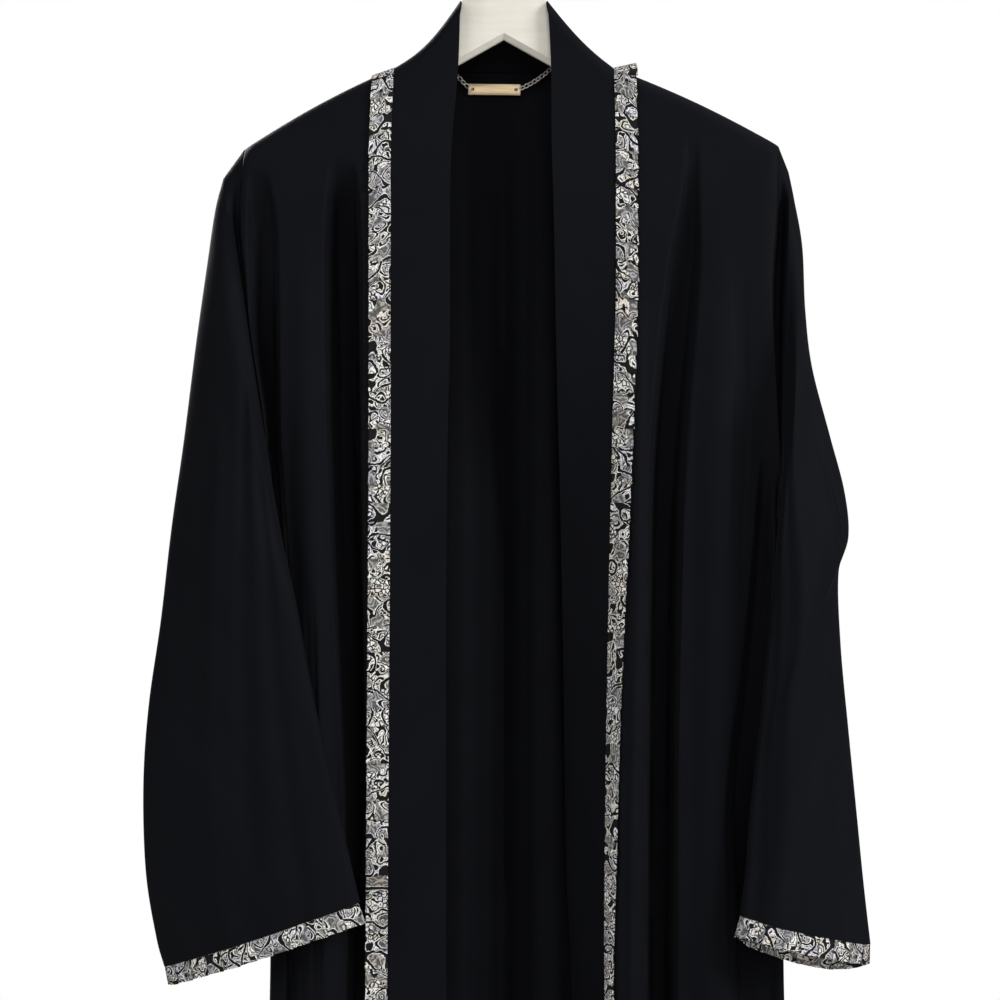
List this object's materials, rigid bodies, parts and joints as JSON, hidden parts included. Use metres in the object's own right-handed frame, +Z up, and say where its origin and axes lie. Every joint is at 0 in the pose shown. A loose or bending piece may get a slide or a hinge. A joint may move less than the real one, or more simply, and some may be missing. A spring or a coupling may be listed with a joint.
{
  "type": "open front abaya on a clothes hanger",
  "caption": "Open front abaya hanging on a flat wooden hanger, with a long front band, hanging sleeves and pleated patterned trim.",
  "frame": {"origin": "inside of the top of the hanger's hook, where it rests on a rail", "axes": "+Z up, -Y the garment's front, +X the wearer's left side"},
  "size_m": [0.5497, 0.1004, 1.5559],
  "materials": {
    "crepe": "matt black crepe",
    "paisley_trim": "light printed cloth, grey, black and ivory paisley",
    "hanger_wood": "ivory painted wood, satin",
    "hook_steel": "plated steel wire",
    "plate_gold": "pale gold, polished",
    "chain_metal": "pale silver with a warm tint"
  },
  "bodies": {
    "root": {"front_right": "crepe", "front_left": "crepe", "back": "crepe", "sleeve_right": "crepe", "sleeve_left": "crepe", "band_right": "crepe", "band_left": "crepe", "band_neck": "crepe", "trim_right": "paisley_trim", "trim_left": "paisley_trim", "trim_neck": "paisley_trim", "cuff_trim_right": "paisley_trim", "cuff_trim_left": "paisley_trim", "hanger_arm_right": "hanger_wood", "hanger_arm_left": "hanger_wood", "hanger_hook": "hook_steel", "label_plate": "plate_gold", "label_chain_right": "chain_metal", "label_chain_left": "chain_metal"}
  },
  "joints": []
}
